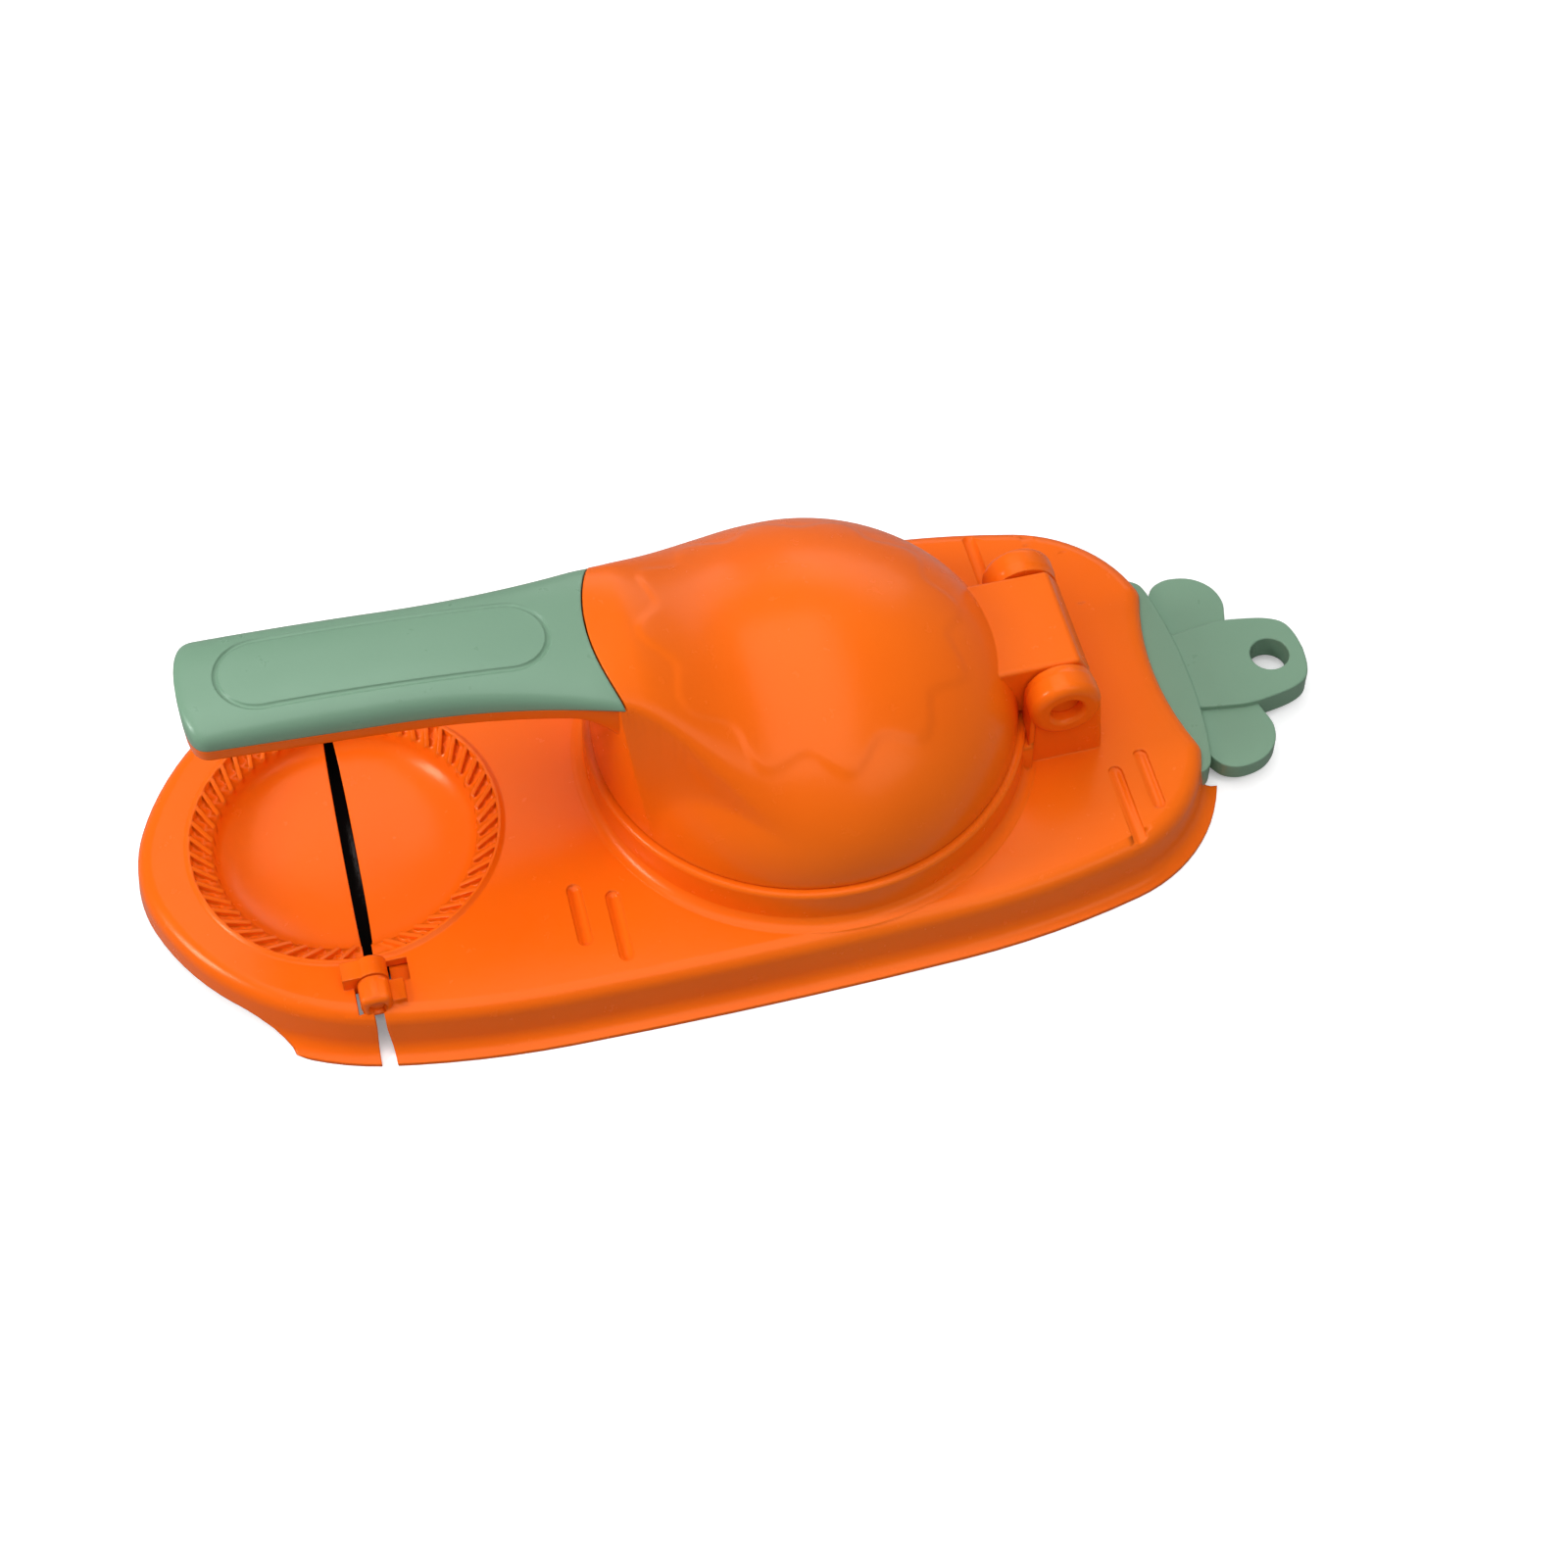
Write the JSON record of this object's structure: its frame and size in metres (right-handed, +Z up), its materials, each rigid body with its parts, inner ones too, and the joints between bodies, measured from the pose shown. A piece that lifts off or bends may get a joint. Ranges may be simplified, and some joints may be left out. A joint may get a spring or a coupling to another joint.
{
  "type": "dumpling maker",
  "caption": "Carrot-shaped hinged dumpling maker: a lever press under a dome, a folding pleating mould and a leaf with a hanging hole.",
  "frame": {"origin": "centre of the footprint, on the surface that the skirt stands on", "axes": "+X from the folding flap's tip to the leaf's tip, +Y to the rear, +Z up"},
  "size_m": [0.24, 0.105, 0.0652],
  "materials": {
    "orange_plastic": "gloss",
    "deep_orange_plastic": "gloss",
    "green_plastic": "satin"
  },
  "bodies": {
    "base": {"base_body": "orange_plastic", "leaf_hanger": "green_plastic", "lever_hinge_pin": "deep_orange_plastic", "flap_pin_front": "deep_orange_plastic", "flap_pin_rear": "deep_orange_plastic"},
    "lever": {"press_lever": "orange_plastic", "press_plate": "deep_orange_plastic", "grip_cover": "green_plastic"},
    "flap": {"mold_flap": "orange_plastic"}
  },
  "joints": [
    {"name": "lever_hinge", "type": "hinge", "parent": "base", "child": "lever", "pos_m": [0.06268, 0, 0.028], "axis": [0, 1, 0], "range_deg": [0, 105]},
    {"name": "flap_hinge", "type": "hinge", "parent": "base", "child": "flap", "pos_m": [-0.07862, 0, 0.0122], "axis": [0, 1, 0], "range_deg": [0, 180]}
  ]
}
